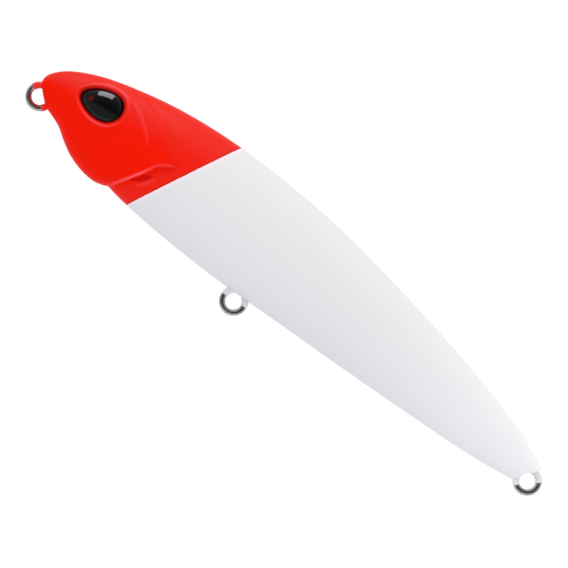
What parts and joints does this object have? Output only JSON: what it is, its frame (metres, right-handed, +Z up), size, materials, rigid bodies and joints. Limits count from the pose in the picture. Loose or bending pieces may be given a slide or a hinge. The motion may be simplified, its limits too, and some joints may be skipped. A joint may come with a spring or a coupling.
{
  "type": "topwater fishing lure",
  "caption": "Hookless topwater popper-style pencil lure: red sprayed head, white body, domed eyes, slanted mouth face, wire ring eyes at nose, belly and tail, inner balls.",
  "frame": {"origin": "centre of the line tie's ring at the nose, on the lure's middle plane", "axes": "+X runs from the nose to the tail, +Z is up towards the back, -Y is the left flank"},
  "size_m": [0.1026, 0.0152, 0.0222],
  "materials": {
    "painted_shell": "clear-coated white body, sprayed red head",
    "steel_wire": "polished stainless wire",
    "eye_film": "printed black film",
    "eye_resin": "clear domed resin over the black film",
    "ball_steel": "ground bearing balls",
    "knocker_brass": "plain brass ball"
  },
  "bodies": {
    "shell": {"shell_left": "painted_shell", "shell_right": "painted_shell", "line_tie_wire": "steel_wire", "belly_hook_hanger": "steel_wire", "tail_hook_hanger": "steel_wire", "eye_film_left": "eye_film", "eye_film_right": "eye_film", "eye_dome_left": "eye_resin", "eye_dome_right": "eye_resin", "tail_ballast_ball_1": "ball_steel", "tail_ballast_ball_2": "ball_steel", "tail_ballast_ball_3": "ball_steel"},
    "knocker": {"knocker_ball": "knocker_brass"},
    "rattle_1": {"rattle_ball_1": "ball_steel"},
    "rattle_2": {"rattle_ball_2": "ball_steel"},
    "rattle_3": {"rattle_ball_3": "ball_steel"}
  },
  "joints": [
    {"name": "knocker_roll", "type": "slide", "parent": "shell", "child": "knocker", "axis": [-1, 0, 0], "range_m": [0, 0.0116]},
    {"name": "rattle_1_shake", "type": "slide", "parent": "shell", "child": "rattle_1", "axis": [0, 1, 0], "range_m": [-0.003, 0.003]},
    {"name": "rattle_2_shake", "type": "slide", "parent": "shell", "child": "rattle_2", "axis": [0, 1, 0], "range_m": [-0.003, 0.003]},
    {"name": "rattle_3_shake", "type": "slide", "parent": "shell", "child": "rattle_3", "axis": [0, 1, 0], "range_m": [-0.003, 0.003]}
  ]
}
